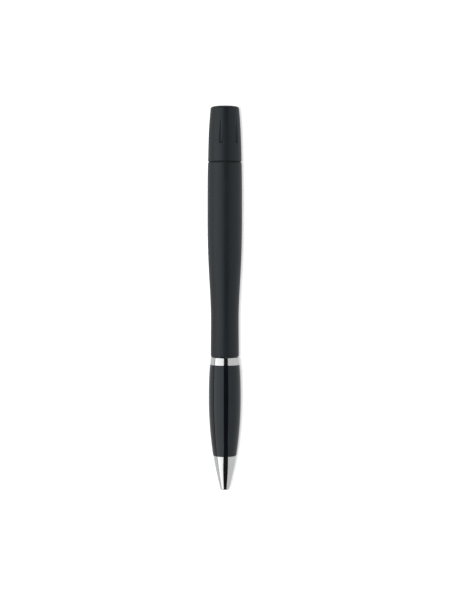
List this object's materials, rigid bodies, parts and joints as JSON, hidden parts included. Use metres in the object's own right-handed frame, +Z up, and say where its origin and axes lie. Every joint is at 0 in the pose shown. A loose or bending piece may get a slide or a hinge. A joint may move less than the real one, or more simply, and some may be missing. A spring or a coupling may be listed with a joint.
{
  "type": "counterfeit detector pen",
  "caption": "Slim double-ended pen: twist-action ballpoint with bright nose cone, and a capped fibre-tip marker that tests banknotes.",
  "frame": {"origin": "on the table under the middle of the pen, which lies on its side with the point drawn in and the cap on", "axes": "+Y along the pen's axis from the writing end to the cap, +Z up from the table, +X to the right seen from above with the cap away from the viewer; the axis is 6.5 mm above the table"},
  "size_m": [0.013, 0.145, 0.013],
  "materials": {
    "soft_touch_black": "soft-touch lacquer on moulded plastic, very fine grain, no gloss",
    "gloss_black": "high-gloss moulded plastic",
    "chrome_trim": "bright chrome plating on plastic",
    "matt_black_moulding": "as moulded, faint sheen",
    "white_moulding": "as moulded acetal",
    "natural_moulding": "as moulded, uncoloured, slightly waxy",
    "spring_steel": "drawn wire",
    "inked_fibre": "bonded fibre soaked with amber ink",
    "nib_fibre": "bonded fibre, amber",
    "clear_film": "clear film",
    "clear_tube": "translucent extruded tube",
    "blue_ink": "wet blue ballpoint ink",
    "grease": "clear yellowish grease",
    "point_metal": "turned, fine lathe lines",
    "ball_carbide": "ground carbide ball"
  },
  "bodies": {
    "grip": {"nose_cone": "chrome_trim", "grip_barrel": "gloss_black", "center_ring": "chrome_trim", "mechanism_housing": "white_moulding", "return_spring": "spring_steel"},
    "barrel": {"upper_barrel": "soft_touch_black", "cam_rotor": "natural_moulding", "chamber_plug": "white_moulding", "ink_reservoir": "inked_fibre", "reservoir_film": "clear_film", "nib_holder": "matt_black_moulding", "detector_nib": "nib_fibre"},
    "cap": {"cap_shell": "soft_touch_black", "cap_inner_seal": "natural_moulding"},
    "refill": {"plunger": "white_moulding", "refill_tube": "clear_tube", "refill_ink": "blue_ink", "ink_follower": "grease", "refill_point": "point_metal"},
    "ball": {"writing_ball": "ball_carbide"}
  },
  "joints": [
    {"name": "barrel_twist", "type": "hinge", "parent": "grip", "child": "barrel", "pos_m": [0, -0.0125, 0.0065], "axis": [0, -1, 0], "range_deg": [0, 180]},
    {"name": "cap_pull", "type": "slide", "parent": "barrel", "child": "cap", "axis": [0, 1, 0], "range_m": [0, 0.045]},
    {"name": "refill_slide", "type": "slide", "parent": "grip", "child": "refill", "axis": [0, -1, 0], "range_m": [0, 0.005], "deforming": ["return_spring"]},
    {"name": "ball_roll", "type": "hinge", "parent": "refill", "child": "ball", "pos_m": [0, -0.0705, 0.0065], "axis": [1, 0, 0], "continuous": true}
  ],
  "couplings": [
    {"joint": "refill_slide", "follows": "barrel_twist", "m_per_rad": 0.0015915}
  ]
}
